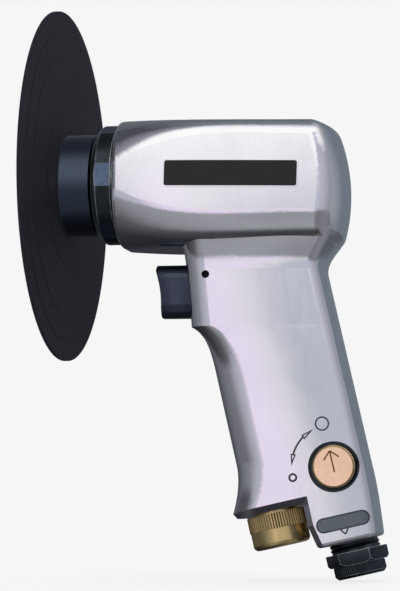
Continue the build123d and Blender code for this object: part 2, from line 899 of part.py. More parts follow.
def inlet_screen():
    top = bushing_thread_length - boss_height
    floor = top - screen_thickness
    body = grip_rod(inlet_spacing, floor, top, screen_radius - slip_fit)
    plane = across_grip(inlet_spacing, floor)
    places = list(PolarLocations(screen_inner_circle, screen_inner_count))
    places += list(PolarLocations(screen_outer_circle, screen_outer_count))
    for place in places:
        body -= extrude(plane * place * Circle(screen_hole_radius), screen_thickness)
    return body


def exhaust_deflector():
    """A brass cup that swivels on its neck and lets the exhaust out downwards."""
    top = deflector_face
    bottom = top - deflector_length
    ring_low = deflector_ring_height - stop_gap
    ring_high = deflector_ring_height + deflector_ring_thickness + stop_gap
    groove = deflector_neck_radius - deflector_groove_depth
    body = grip_turned(
        0,
        [
            (deflector_neck_bore, top - deflector_top),
            (deflector_neck_bore, deflector_neck_length),
            (deflector_neck_radius, deflector_neck_length),
            (deflector_neck_radius, ring_high),
            (groove, ring_high),
            (groove, ring_low),
            (deflector_neck_radius, ring_low),
            (deflector_neck_radius, top),
            (deflector_radius, top),
            (deflector_radius, bottom),
            (deflector_cavity_radius, bottom),
            (deflector_cavity_radius, top - deflector_top),
        ],
    )
    circles = body.edges().filter_by(GeomType.CIRCLE)
    rim = circles.group_by(SortBy.RADIUS)[-1].sort_by(Axis.Z)[0]
    return fillet(rim, deflector_edge_round)


def deflector_ring():
    outer = deflector_neck_radius + free_gap + deflector_ring_bite
    inner = deflector_neck_radius - deflector_groove_depth + free_gap
    return split_ring(across_grip(0, deflector_ring_height), deflector_ring_thickness, outer, inner)


def muffler_element():
    top = deflector_face - deflector_top - muffler_room
    bottom = deflector_face - deflector_length + muffler_set_back
    return grip_rod(0, bottom, top, deflector_cavity_radius - slip_fit)


def all_parts():
    front_outer, front_inner, front_balls = bearing(
        front_plate_x,
        front_bearing_width,
        front_journal_radius,
        front_bearing_radius,
        front_ball_radius,
        front_ball_count,
    )
    rear_outer, rear_inner, rear_balls = bearing(
        rear_bearing_x,
        rear_bearing_width,
        rear_journal_radius,
        rear_bearing_radius,
        rear_ball_radius,
        rear_ball_count,
    )
    return {
        "motor_housing": motor_housing(),
        "clamp_nut": clamp_nut(),
        "spindle_seal": spindle_seal(),
        "front_end_plate": front_end_plate(),
        "rear_end_plate": rear_end_plate(),
        "cylinder": cylinder(),
        "cylinder_dowel": cylinder_dowel(),
        "spring_washer": spring_washer(),
        "front_bearing_outer": front_outer,
        "front_bearing_inner": front_inner,
        "front_bearing_balls": front_balls,
        "rear_bearing_outer": rear_outer,
        "rear_bearing_inner": rear_inner,
        "rear_bearing_balls": rear_balls,
        "rotor_shaft": rotor_shaft(),
        "rotor_vanes": rotor_vanes(),
        "arbor_spacer": arbor_spacer(),
        "sanding_pad": sanding_pad(),
        "pad_insert": pad_insert(),
        "pad_nut": pad_nut(),
        "trigger": trigger(),
        "trigger_pin": trigger_pin(),
        "plunger_bush": plunger_bush(),
        "plunger_seal": plunger_seal(),
        "throttle_seat": throttle_seat(),
        "throttle_valve": throttle_valve(),
        "throttle_spring": throttle_spring(),
        "spring_ring": spring_ring(),
        "regulator_valve": regulator_valve(),
        "regulator_seal": regulator_seal(),
        "regulator_ring": regulator_ring(),
        "inlet_bushing": inlet_bushing(),
        "inlet_screen": inlet_screen(),
        "exhaust_deflector": exhaust_deflector(),
        "deflector_ring": deflector_ring(),
        "muffler_element": muffler_element(),
    }


def main():
    os.makedirs("parts", exist_ok=True)
    for name, shape in all_parts().items():
        export_step(shape, f"parts/{name}.step")


if __name__ == "__main__":
    main()
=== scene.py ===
import json
import math

import bmesh
import bpy
from bpy.props import FloatProperty, FloatVectorProperty, IntProperty, PointerProperty
from mathutils import Matrix, Vector


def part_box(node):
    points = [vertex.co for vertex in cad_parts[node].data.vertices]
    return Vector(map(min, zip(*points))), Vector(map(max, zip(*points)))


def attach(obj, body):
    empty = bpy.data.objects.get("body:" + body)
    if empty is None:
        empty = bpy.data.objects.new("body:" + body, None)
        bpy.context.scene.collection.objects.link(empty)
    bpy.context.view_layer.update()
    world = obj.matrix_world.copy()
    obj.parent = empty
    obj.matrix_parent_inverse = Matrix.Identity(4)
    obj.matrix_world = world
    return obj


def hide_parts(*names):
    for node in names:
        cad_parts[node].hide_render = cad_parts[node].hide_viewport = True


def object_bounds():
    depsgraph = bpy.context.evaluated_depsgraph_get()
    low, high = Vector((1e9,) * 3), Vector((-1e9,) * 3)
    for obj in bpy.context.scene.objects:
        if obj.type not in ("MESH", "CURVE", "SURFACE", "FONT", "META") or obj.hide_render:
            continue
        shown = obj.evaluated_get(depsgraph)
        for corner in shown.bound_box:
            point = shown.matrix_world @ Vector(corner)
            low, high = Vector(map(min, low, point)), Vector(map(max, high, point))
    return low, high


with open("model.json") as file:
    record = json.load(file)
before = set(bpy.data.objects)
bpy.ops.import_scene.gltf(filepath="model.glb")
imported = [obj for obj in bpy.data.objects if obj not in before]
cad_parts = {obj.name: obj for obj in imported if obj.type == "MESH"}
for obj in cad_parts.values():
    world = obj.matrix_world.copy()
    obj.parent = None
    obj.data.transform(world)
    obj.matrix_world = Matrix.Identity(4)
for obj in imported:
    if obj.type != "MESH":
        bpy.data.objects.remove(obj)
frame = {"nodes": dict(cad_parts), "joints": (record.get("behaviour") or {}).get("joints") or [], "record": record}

bl_info = {
    "name": "Disc sander looks",
    "version": (1, 0, 0),
    "blender": (4, 5, 0),
    "location": "View3D > Sidebar > Sander",
    "description": "Finishes, knurls, marks and plates for the solids of a pistol-grip disc sander",
    "category": "Object",
}

CAD_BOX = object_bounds()
MM = 0.001

# Sockets of a Mix node, which share their names
FLOAT_A, FLOAT_B, FLOAT_RESULT = 2, 3, 0
COLOUR_A, COLOUR_B, COLOUR_RESULT = 6, 7, 2


def joint(name):
    return next(j for j in frame["joints"] if j["name"] == name)


def mount(name):
    return next(m for m in frame["record"]["mounts"] if m["name"] == name)


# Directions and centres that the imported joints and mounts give
GRIP_UP = Vector(joint("deflector_turn")["axis"]).normalized()
GRIP_REAR = Vector((GRIP_UP.z, 0, -GRIP_UP.x))
TOWARDS_VIEWER = Vector((0, -1, 0))
EXHAUST_FOOT = Vector(joint("deflector_turn")["pos_m"])
REGULATOR_CENTRE = Vector(joint("regulator_turn")["pos_m"])
INLET_MOUTH = Vector(mount("air_inlet")["pos_m"])

# Flat pieces start this far before the middle plane, clear of the casting that they are laid on
CLEAR = 40.0 * MM

# A field is this much larger than the opening of its rim
LAP = 0.04 * MM


def axes(origin, x_axis, z_axis):
    """The matrix that takes a piece built about the origin to its place on the tool."""
    y_axis = z_axis.cross(x_axis)
    turn = Matrix((x_axis, y_axis, z_axis)).transposed().to_4x4()
    return Matrix.Translation(origin) @ turn


def on_grip_axis(foot):
    return axes(foot, GRIP_REAR, GRIP_UP)


def on_side(centre, depth):
    """A place on the regulator's side of the tool, with x rearwards and y up the grip."""
    return axes(Vector((centre.x, -depth, centre.z)), GRIP_REAR, TOWARDS_VIEWER)


def on_grip(rearward, upward):
    """A point of the grip's middle plane, measured in millimetres from the exhaust axis."""
    return EXHAUST_FOOT + (GRIP_REAR * rearward + GRIP_UP * upward) * MM


# Settings


def length(name, description, millimetres):
    return FloatProperty(name=name, description=description, default=millimetres * MM, unit="LENGTH")


def count(name, description, number):
    return IntProperty(name=name, description=description, default=number)


def colour(name, description, value):
    return FloatVectorProperty(
        name=name, description=description, default=value, size=3, subtype="COLOR"
    )


class SanderSizes(bpy.types.PropertyGroup):
    badge_length: length("Badge length", "Length of the plate on the barrel", 47.6)
    badge_height: length("Badge height", "Height of the plate on the barrel", 9.7)
    badge_border: length("Badge border", "Width of the plate's bright edge", 0.4)
    plaque_length: length("Plaque length", "Length of the plaque on the inlet boss", 18.6)
    plaque_height: length("Plaque height", "Height of the plaque on the inlet boss", 5.2)
    plaque_border: length("Plaque border", "Width of the plaque's raised edge", 0.55)
    mark_width: length("Mark width", "Width of the engraved lines", 0.55)
    flow_radius: length("Flow arc radius", "Radius of the arc round the regulator", 14.7)
    thread_pitch: length("Thread pitch", "Pitch of the inlet thread", 1.41)
    edge_break: length("Edge break", "Width of the broken edges", 0.3)
    deflector_teeth: count("Deflector knurl", "Teeth round the exhaust deflector", 68)
    inlet_teeth: count("Inlet serration", "Teeth round the end of the inlet", 72)
    regulator_teeth: count("Regulator knurl", "Teeth round the regulator's face", 60)


class SanderColours(bpy.types.PropertyGroup):
    casting: colour("Casting", "Polished aluminium", (0.80, 0.78, 0.83))
    blackened: colour("Blackened steel", "Collar and inlet", (0.046, 0.055, 0.066))
    pad: colour("Pad", "Rubber of the pad", (0.010, 0.010, 0.014))
    trigger: colour("Trigger", "Gloss plastic", (0.004, 0.005, 0.008))
    copper: colour("Regulator face", "Copper-coloured metal", (0.98, 0.67, 0.46))
    brass: colour("Brass", "Exhaust deflector", (0.77, 0.57, 0.27))
    engraving: colour("Engraving", "Shadowed lines of the marks", (0.05, 0.05, 0.06))
    backdrop: colour("Backdrop", "Pale studio ground", (0.922, 0.922, 0.922))


# Node groups


def group_sockets(tree, inputs, outputs):
    for name, kind, default in inputs:
        socket = tree.interface.new_socket(name=name, in_out="INPUT", socket_type=kind)
        socket.default_value = default
    for name, kind in outputs:
        tree.interface.new_socket(name=name, in_out="OUTPUT", socket_type=kind)
    return tree.nodes.new("NodeGroupInput"), tree.nodes.new("NodeGroupOutput")


def polish_lines():
    """Fine lines left by polishing: noise stretched along one direction of the piece."""
    tree = bpy.data.node_groups.new("polish_lines", "ShaderNodeTree")
    start, end = group_sockets(
        tree,
        [
            ("Stretch", "NodeSocketVector", (60.0, 900.0, 900.0)),
            ("Low", "NodeSocketFloat", 0.15),
            ("High", "NodeSocketFloat", 0.25),
        ],
        [("Roughness", "NodeSocketFloat"), ("Height", "NodeSocketFloat")],
    )
    coords = tree.nodes.new("ShaderNodeTexCoord")
    scale = tree.nodes.new("ShaderNodeVectorMath")
    scale.operation = "MULTIPLY"
    noise = tree.nodes.new("ShaderNodeTexNoise")
    noise.inputs["Scale"].default_value = 1.0
    noise.inputs["Detail"].default_value = 3.0
    span = tree.nodes.new("ShaderNodeMapRange")
    span.inputs["From Min"].default_value = 0.3
    span.inputs["From Max"].default_value = 0.7
    link = tree.links.new
    link(coords.outputs["Object"], scale.inputs[0])
    link(start.outputs["Stretch"], scale.inputs[1])
    link(scale.outputs["Vector"], noise.inputs["Vector"])
    link(noise.outputs["Fac"], span.inputs["Value"])
    link(start.outputs["Low"], span.inputs["To Min"])
    link(start.outputs["High"], span.inputs["To Max"])
    link(span.outputs["Result"], end.inputs["Roughness"])
    link(noise.outputs["Fac"], end.inputs["Height"])
    return tree


def mottle():
    """Slow and fine variation of a colour over a piece."""
    tree = bpy.data.node_groups.new("mottle", "ShaderNodeTree")
    start, end = group_sockets(
        tree,
        [
            ("Colour", "NodeSocketColor", (0.5, 0.5, 0.5, 1.0)),
            ("Second colour", "NodeSocketColor", (0.4, 0.4, 0.4, 1.0)),
            ("Scale", "NodeSocketFloat", 60.0),
            ("Low", "NodeSocketFloat", 0.3),
            ("High", "NodeSocketFloat", 0.5),
        ],
        [("Colour", "NodeSocketColor"), ("Roughness", "NodeSocketFloat"), ("Height", "NodeSocketFloat")],
    )
    coords = tree.nodes.new("ShaderNodeTexCoord")
    noise = tree.nodes.new("ShaderNodeTexNoise")
    noise.inputs["Detail"].default_value = 5.0
    noise.inputs["Roughness"].default_value = 0.6
    ramp = tree.nodes.new("ShaderNodeMapRange")
    ramp.inputs["From Min"].default_value = 0.35
    ramp.inputs["From Max"].default_value = 0.65
    mix = tree.nodes.new("ShaderNodeMix")
    mix.data_type = "RGBA"
    span = tree.nodes.new("ShaderNodeMapRange")
    link = tree.links.new
    link(coords.outputs["Object"], noise.inputs["Vector"])
    link(start.outputs["Scale"], noise.inputs["Scale"])
    link(noise.outputs["Fac"], ramp.inputs["Value"])
    link(ramp.outputs["Result"], mix.inputs["Factor"])
    link(start.outputs["Colour"], mix.inputs[COLOUR_A])
    link(start.outputs["Second colour"], mix.inputs[COLOUR_B])
    link(ramp.outputs["Result"], span.inputs["Value"])
    link(start.outputs["Low"], span.inputs["To Min"])
    link(start.outputs["High"], span.inputs["To Max"])
    link(mix.outputs[COLOUR_RESULT], end.inputs["Colour"])
    link(span.outputs["Result"], end.inputs["Roughness"])
    link(noise.outputs["Fac"], end.inputs["Height"])
    return tree


def shared(make):
    """A node group, built the first time that a finish asks for it."""
    return bpy.data.node_groups.get(make.__name__) or make()


# Finishes


def opened(material):
    """The nodes of a material, what links them, and its Principled shader."""
    nodes = material.node_tree.nodes
    return nodes, material.node_tree.links.new, nodes["Principled BSDF"]


def finish(name):
    """A new material with a Principled shader, and the nodes that a finish adds to."""
    material = bpy.data.materials.new(name)
    material.use_nodes = True
    return (material, *opened(material))


def placed(nodes, make, **values):
    """A shared node group placed in a material with its own values."""
    node = nodes.new("ShaderNodeGroup")
    node.node_tree = shared(make)
    for name, value in values.items():
        node.inputs[name.replace("_", " ")].default_value = value
    return node


def relief(nodes, link, height, shader, strength, distance):
    bump = nodes.new("ShaderNodeBump")
    bump.inputs["Strength"].default_value = strength
    bump.inputs["Distance"].default_value = distance
    link(height, bump.inputs["Height"])
    link(bump.outputs["Normal"], shader.inputs["Normal"])


def rgba(value, gain=1.0):
    return (value[0] * gain, value[1] * gain, value[2] * gain, 1.0)


def metal(
    name, tone, low, high, stretch=(60.0, 900.0, 900.0), shade=0.94, scale=45.0, strength=0.06
):
    """A bare metal: colour mottled a little, with fine lines in its gloss."""
    line_depth = 0.02 * MM
    material, nodes, link, shader = finish(name)
    shader.inputs["Metallic"].default_value = 1.0
    tint = placed(nodes, mottle, Colour=rgba(tone), Second_colour=rgba(tone, shade), Scale=scale)
    lines = placed(nodes, polish_lines, Stretch=stretch, Low=low, High=high)
    link(tint.outputs["Colour"], shader.inputs["Base Color"])
    link(lines.outputs["Roughness"], shader.inputs["Roughness"])
    relief(nodes, link, lines.outputs["Height"], shader, strength, line_depth)
    return material


def coating(
    name,
    tone,
    low,
    high,
    second=1.6,
    scale=300.0,
    strength=0.15,
    gloss=0.5,
    sheen=(1.0, 1.0, 1.0),
):
    """A coating, rubber or plastic: mottled colour and gloss with a fine grain."""
    grain_depth = 0.04 * MM
    material, nodes, link, shader = finish(name)
    shader.inputs["Specular IOR Level"].default_value = gloss
    shader.inputs["Specular Tint"].default_value = rgba(sheen)
    tint = placed(
        nodes,
        mottle,
        Colour=rgba(tone),
        Second_colour=rgba(tone, second),
        Scale=scale,
        Low=low,
        High=high,
    )
    link(tint.outputs["Colour"], shader.inputs["Base Color"])
    link(tint.outputs["Roughness"], shader.inputs["Roughness"])
    relief(nodes, link, tint.outputs["Height"], shader, strength, grain_depth)
    return material


def beyond(nodes, link, axis, start, end):
    """A mask that rises from 0 to 1 between two places along an axis of the tool."""
    coords = nodes.new("ShaderNodeTexCoord")
    split = nodes.new("ShaderNodeSeparateXYZ")
    span = nodes.new("ShaderNodeMapRange")
    span.inputs["From Min"].default_value = start
    span.inputs["From Max"].default_value = end
    link(coords.outputs["Object"], split.inputs["Vector"])
    link(split.outputs[axis], span.inputs["Value"])
    return span.outputs["Result"]


def overlay(nodes, link, shader, mask, tone):
    """Lays a second colour over that of a finish where a mask is 1."""
    mix = nodes.new("ShaderNodeMix")
    mix.data_type = "RGBA"
    mix.inputs[COLOUR_B].default_value = tone
    link(mask, mix.inputs["Factor"])
    link(shader.inputs["Base Color"].links[0].from_socket, mix.inputs[COLOUR_A])
    link(mix.outputs[COLOUR_RESULT], shader.inputs["Base Color"])


def pad_and_hub(colours):
    """Matt rubber on the disc, and a smooth blued skin on the hub behind it."""
    material = coating("pad_rubber", colours.pad, 0.55, 0.7, scale=700.0, strength=0.25, gloss=0.12)
    nodes, link, shader = opened(material)
    disc_end, hub_start = 2.3 * MM, 2.9 * MM
    hub = beyond(nodes, link, "X", disc_end, hub_start)
    overlay(nodes, link, shader, hub, rgba((0.059, 0.072, 0.105)))
    gloss = nodes.new("ShaderNodeMix")
    gloss.inputs[FLOAT_B].default_value = 0.3
    link(hub, gloss.inputs["Factor"])
    link(shader.inputs["Roughness"].links[0].from_socket, gloss.inputs[FLOAT_A])
    link(gloss.outputs[FLOAT_RESULT], shader.inputs["Roughness"])
    link(hub, shader.inputs["Metallic"])
    return material


def copper_face(colours):
    """Copper on the face of the regulator, and painted shade on the plug further in, down its bore."""
    material = metal("copper_face", colours.copper, 0.15, 0.22, stretch=(500.0, 500.0, 500.0))
    nodes, link, shader = opened(material)
    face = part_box("regulator_valve")[0].y
    copper_end, bore_shade_start = face + 0.5 * MM, face + 0.7 * MM
    # Past the face the plug is painted nearly black: painted shade where it sinks into its bore.
    inner = beyond(nodes, link, "Y", copper_end, bore_shade_start)
    overlay(nodes, link, shader, inner, rgba(colours.blackened, 0.35))
    return material


def finishes(colours):
    """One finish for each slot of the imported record, and those of the added pieces."""
    fine, lengthwise, turned = (900.0, 900.0, 900.0), (500.0, 500.0, 90.0), (600.0, 600.0, 300.0)
    edge, flat, knurl = (0.52, 0.56, 0.60), (0.095, 0.125, 0.20), (0.43, 0.31, 0.145)
    bronze, enamel, field = (0.25, 0.19, 0.11), (0.005, 0.004, 0.006), (0.17, 0.19, 0.215)
    return {
        "cast_aluminium": metal(
            "polished_casting", colours.casting, 0.10, 0.14, lengthwise, shade=0.96, strength=0.02
        ),
        "black_steel": metal(
            "blackened_steel", colours.blackened, 0.24, 0.36, fine, shade=0.7, scale=200.0
        ),
        # Lighter steel on the broken edges of the collar and the inlet: a painted highlight along them.
        "edge_highlight": metal("painted_edge_highlight", edge, 0.24, 0.36, fine, shade=0.5, scale=400.0),
        # Lighter, bluer steel on the collar's flats: a painted highlight.
        "spanner_flat_highlight": metal("spanner_flat_highlight", flat, 0.22, 0.32, fine, shade=0.8, scale=300.0),
        "pad_rubber": pad_and_hub(colours),
        "trigger_plastic": coating(
            "trigger_plastic",
            colours.trigger,
            0.16,
            0.24,
            scale=120.0,
            strength=0.03,
            gloss=1.0,
            sheen=(0.60, 0.70, 1.0),
        ),
        "copper": copper_face(colours),
        "brass": metal("satin_brass", colours.brass, 0.2, 0.3, turned, shade=0.85),
        # Darker brass on the knurled bands: painted shade between the teeth.
        "knurl_brass_painted_shade": metal("knurl_brass_painted_shade", knurl, 0.25, 0.35, fine, shade=0.8),
        "sintered_bronze": coating("sintered_bronze", bronze, 0.6, 0.8, scale=1500.0, strength=0.8),
        "bearing_steel": metal("bearing_steel", (0.6, 0.61, 0.63), 0.12, 0.2),
        "steel": metal("turned_steel", (0.42, 0.43, 0.45), 0.22, 0.34),
        "seal_rubber": coating("seal_rubber", (0.012, 0.012, 0.012), 0.5, 0.6),
        "vane_plastic": coating("vane_plastic", (0.30, 0.18, 0.09), 0.5, 0.6),
        # Nearly black: painted shade in the pin's hole.
        "pin_end": metal("pin_end_painted_shade", (0.012, 0.012, 0.014), 0.4, 0.55, fine),
        "copper_mark": coating("copper_mark", (0.17, 0.075, 0.03), 0.4, 0.55, second=0.7, gloss=0.25),
        "badge": coating("badge_enamel", enamel, 0.3, 0.36, scale=200.0, strength=0.02, gloss=0.3),
        "badge_edge": metal("badge_edge", (0.85, 0.85, 0.88), 0.25, 0.35),
        "engraving": coating("engraving", colours.engraving, 0.45, 0.6, second=0.7, gloss=0.2),
        "plaque": metal("cast_field", field, 0.28, 0.42, fine, strength=0.4),
    }


# Filled by the first operator, and read by those that add pieces
FINISH = {}


# Modelling helpers


def deselect():
    if bpy.context.mode != "OBJECT":
        bpy.ops.object.mode_set(mode="OBJECT")
    bpy.ops.object.select_all(action="DESELECT")


def choose(piece):
    deselect()
    piece.select_set(True)
    bpy.context.view_layer.objects.active = piece


def edit(piece):
    """Opens a piece in edit mode with everything on it selected."""
    choose(piece)
    bpy.ops.object.mode_set(mode="EDIT")
    bpy.ops.mesh.select_mode(type="VERT")
    bpy.ops.mesh.select_all(action="SELECT")


def pick(test):
    """Selects the points of the piece in edit mode that pass a test of their place."""
    mesh = bmesh.from_edit_mesh(bpy.context.edit_object.data)
    for point in mesh.verts:
        point.select_set(test(point.co))
    mesh.select_flush(True)
    bmesh.update_edit_mesh(bpy.context.edit_object.data)


def stretch(x, y, z=1.0):
    bpy.ops.transform.resize(value=(x, y, z), center_override=(0, 0, 0))


def grow(across):
    stretch(across, across)


def shift(x, y, z=0.0):
    bpy.ops.transform.translate(value=(x, y, z))


def push(height=0.0):
    """Extrudes what is selected along z."""
    bpy.ops.mesh.extrude_region_move(TRANSFORM_OT_translate={"value": (0, 0, height)})


def close_up():
    """Merges doubled points, turns the faces outwards and leaves edit mode."""
    bpy.ops.mesh.select_all(action="SELECT")
    bpy.ops.mesh.remove_doubles(threshold=1e-7)
    bpy.ops.mesh.normals_make_consistent(inside=False)
    bpy.ops.object.mode_set(mode="OBJECT")


def modify(piece, kind, **values):
    """Adds a modifier to a piece and applies it."""
    modifier = piece.modifiers.new(kind.lower(), kind)
    for name, value in values.items():
        setattr(modifier, name, value)
    choose(piece)
    bpy.ops.object.modifier_apply(modifier=modifier.name)


def set_down(piece, place):
    """Puts a piece built about the origin in its place, with that place in its mesh."""
    choose(piece)
    piece.matrix_world = place
    bpy.ops.object.transform_apply(location=True, rotation=True, scale=True)
    return piece


def dress(piece, name, body, slot, look=None, angle=35.0):
    """Names a finished piece, gives it its finish and makes it ride on a body."""
    choose(piece)
    bpy.ops.object.shade_smooth_by_angle(angle=math.radians(angle))
    piece.name = name
    piece.data.name = name
    if not piece.data.materials:
        piece.data.materials.append(FINISH[look or slot])
    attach(piece, body)


def lay_on_casting(piece, thickness):
    """Lays a flat piece on the casting's near side; half of its thickness stands proud."""
    modify(
        piece,
        "SHRINKWRAP",
        target=frame["nodes"]["motor_housing"],
        wrap_method="PROJECT",
        use_project_y=True,
        use_positive_direction=True,
        use_negative_direction=False,
    )
    modify(piece, "SOLIDIFY", thickness=thickness, offset=0.0)
    edit(piece)
    close_up()


def joined(pieces):
    deselect()
    for piece in pieces:
        piece.select_set(True)
    bpy.context.view_layer.objects.active = pieces[0]
    bpy.ops.object.join()
    return pieces[0]


def toothed_ring(teeth, depth, *profile):
    """A straight-knurled ring about z, turned to a profile of radii and heights in millimetres."""
    profile = [(radius * MM, height * MM) for radius, height in profile]
    (inner, low), (last, high) = profile[0], profile[-1]
    deselect()
    bpy.ops.mesh.primitive_circle_add(vertices=2 * teeth, radius=inner, location=(0, 0, 0))
    ring = bpy.context.object
    edit(ring)
    step = math.pi / teeth
    pick(lambda co: round(math.atan2(co.y, co.x) / step) % 2 == 0)
    grow(1 + depth)
    bpy.ops.mesh.select_all(action="SELECT")
    shift(0, 0, low)
    for (radius, height), (next_radius, next_height) in zip(profile, profile[1:]):
        push(next_height - height)
        grow(next_radius / radius)
    # The first and the last loop are picked by radius and height, and bridged to close the ring
    tips = {(round(inner, 7), round(low, 7)), (round(last, 7), round(high, 7))}
    tips |= {(round(radius * (1 + depth), 7), height) for radius, height in tips}
    pick(lambda co: (round(math.hypot(co.x, co.y), 7), round(co.z, 7)) in tips)
    bpy.ops.mesh.select_mode(type="EDGE")
    bpy.ops.mesh.bridge_edge_loops()
    close_up()
    return ring


def thread_ridge(root, height, pitch, turns, low):
    """The ridge of a screw thread about z, closed at both ends."""
    deselect()
    bpy.ops.mesh.primitive_circle_add(
        vertices=4, radius=1.0, location=(0, 0, 0), rotation=(math.pi / 2, 0, 0)
    )
    ridge = bpy.context.object
    bpy.ops.object.transform_apply(location=False, rotation=True, scale=False)
    edit(ridge)
    half_foot = 0.46 * pitch
    stretch(height, 1.0, half_foot)
    shift(root, 0, low)
    bpy.ops.object.mode_set(mode="OBJECT")
    steps = 48 * turns
    modify(
        ridge,
        "SCREW",
        axis="Z",
        angle=2 * math.pi * turns,
        screw_offset=pitch * turns,
        steps=int(steps),
        render_steps=int(steps),
        use_merge_vertices=False,
    )
    edit(ridge)
    bpy.ops.mesh.fill_holes(sides=4)
    close_up()
    return ridge


def flat_ring(outer, width, points=64):
    """A flat ring facing z."""
    deselect()
    bpy.ops.mesh.primitive_circle_add(vertices=points, radius=outer, location=(0, 0, 0))
    ring = bpy.context.object
    edit(ring)
    push()
    grow((outer - width) / outer)
    close_up()
    return ring


def flat_plate(long, high, corner, cut_length, cuts=20):
    """A flat plate facing z with round corners, cut across so that it can follow a surface."""
    deselect()
    bpy.ops.mesh.primitive_plane_add(size=1.0, location=(0, 0, 0))
    plate = bpy.context.object
    edit(plate)
    stretch(long, high)
    bpy.ops.mesh.bevel(offset=corner, segments=8, affect="VERTICES")
    for cut in range(1, cuts):
        bpy.ops.mesh.select_all(action="SELECT")
        place = (cut / cuts - 0.5) * cut_length
        bpy.ops.mesh.bisect(plane_co=(place, 0, 0), plane_no=(1, 0, 0))
    bpy.ops.object.mode_set(mode="OBJECT")
    return plate


def flat_rim(plate, width):
    """Leaves only the border of a flat plate."""
    edit(plate)
    bpy.ops.mesh.inset(thickness=width)
    bpy.ops.mesh.delete(type="ONLY_FACE")
    pick(lambda co: False)
    bpy.ops.mesh.select_loose()
    bpy.ops.mesh.delete(type="EDGE")
    bpy.ops.object.mode_set(mode="OBJECT")
    return plate


def flat_bar(start, end, width, cuts=3):
    """A flat bar between two places on the z plane."""
    deselect()
    start, end = Vector((*start, 0)), Vector((*end, 0))
    run = end - start
    bpy.ops.mesh.primitive_plane_add(size=1.0, location=(0, 0, 0))
    piece = bpy.context.object
    edit(piece)
    stretch(run.length, width)
    bpy.ops.mesh.subdivide(number_cuts=cuts)
    bpy.ops.object.mode_set(mode="OBJECT")
    turn = Matrix.Rotation(math.atan2(run.y, run.x), 4, "Z")
    return set_down(piece, Matrix.Translation((start + end) / 2) @ turn)


def flat_arc(radius, start, end, width):
    """A flat arc about z between two angles in degrees."""
    deselect()
    bpy.ops.mesh.primitive_plane_add(size=1.0, location=(0, 0, 0))
    piece = bpy.context.object
    edit(piece)
    pick(lambda co: co.y > 0)
    bpy.ops.mesh.delete(type="VERT")
    bpy.ops.mesh.select_all(action="SELECT")
    shift(0, 0.5)
    stretch(width, 1.0)
    shift(radius, 0)
    bpy.ops.mesh.spin(steps=16, angle=math.radians(start - end), center=(0, 0, 0), axis=(0, 0, 1))
    close_up()
    return set_down(piece, Matrix.Rotation(math.radians(start), 4, "Z"))


def hollow_head(tip, foot, width, line):
    """The outline of an arrow's head from its tip to the middle of its foot."""
    deselect()
    tip, foot = Vector((*tip, 0)), Vector((*foot, 0))
    run = tip - foot
    bpy.ops.mesh.primitive_circle_add(vertices=3, radius=1.0, fill_type="NGON", location=(0, 0, 0))
    head = bpy.context.object
    edit(head)
    # A circle of three points is sqrt(3) wide and 1.5 high, with its foot half below the centre
    shift(0, 0.5)
    stretch(width / math.sqrt(3), run.length / 1.5)
    bpy.ops.object.mode_set(mode="OBJECT")
    flat_rim(head, line)
    turn = Matrix.Rotation(math.atan2(run.y, run.x) - math.pi / 2, 4, "Z")
    return set_down(head, Matrix.Translation(foot) @ turn)


def softened(node, looks, width, angle=28.0):
    """A copy of a solid with its sharp edges broken, to stand for that solid."""
    piece = bpy.data.objects.new(node, frame["nodes"][node].data.copy())
    bpy.context.scene.collection.objects.link(piece)
    piece.data.materials.clear()
    for look in looks:
        piece.data.materials.append(FINISH[look])
    edit(piece)
    bpy.ops.mesh.customdata_custom_splitnormals_clear()
    bpy.ops.mesh.remove_doubles(threshold=1e-6)
    bpy.ops.mesh.dissolve_limited(angle_limit=math.radians(0.6))
    close_up()
    modify(
        piece,
        "BEVEL",
        width=width,
        segments=2,
        limit_method="ANGLE",
        angle_limit=math.radians(angle),
        material=len(looks) - 1,
    )
    return piece


def face_flats(collar, index):
    """Gives the spanner flats, the collar's largest faces along the spindle, their own lighter finish: a painted
    highlight.
    """
    along_spindle = [face for face in collar.data.polygons if abs(face.normal.x) < 1e-3]
    largest = max(face.area for face in along_spindle)
    for face in along_spindle:
        if face.area > 0.5 * largest:
            face.material_index = index


# Operators


class SANDER_OT_finishes(bpy.types.Operator):
    """Gives every solid of the tool its finish"""

    bl_idname = "sander.finishes"
    bl_label = "Finish the solids"

    def execute(self, context):
        FINISH.update(finishes(context.scene.sander_colours))
        for row in frame["record"]["subparts"]:
            # The trigger pin's end is painted nearly black: painted shade in the hole that it sits in.
            look = "pin_end" if row["node"] == "trigger_pin" else row["material_slot"]
            for slot in frame["nodes"][row["node"]].material_slots:
                slot.material = FINISH[look]
        # The polished casting mirrors the studio and not the black pad
        frame["nodes"]["sanding_pad"].visible_glossy = False
        return {"FINISHED"}


class SANDER_OT_broken_edges(bpy.types.Operator):
    """Breaks the sharp edges of the trigger, the collar and the air inlet"""

    bl_idname = "sander.broken_edges"
    bl_label = "Broken edges"

    def execute(self, context):
        width = context.scene.sander_sizes.edge_break
        trigger = softened("trigger", ["trigger_plastic"], width)
        # The last finish of each list goes on the broken edges: for the collar and the inlet, lighter steel as a
        # painted highlight.
        collar = softened("clamp_nut", ["black_steel", "spanner_flat_highlight", "edge_highlight"], width)
        face_flats(collar, 1)
        inlet = softened("inlet_bushing", ["black_steel", "edge_highlight"], width)
        for piece, node, body, slot, angle in (
            (trigger, "trigger", "trigger", "trigger_plastic", 35.0),
            (collar, "clamp_nut", "housing", "black_steel", 8.0),
            (inlet, "inlet_bushing", "housing", "black_steel", 35.0),
        ):
            dress(piece, node + "_dressed", body, slot, angle=angle)
            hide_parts(node)
        return {"FINISHED"}


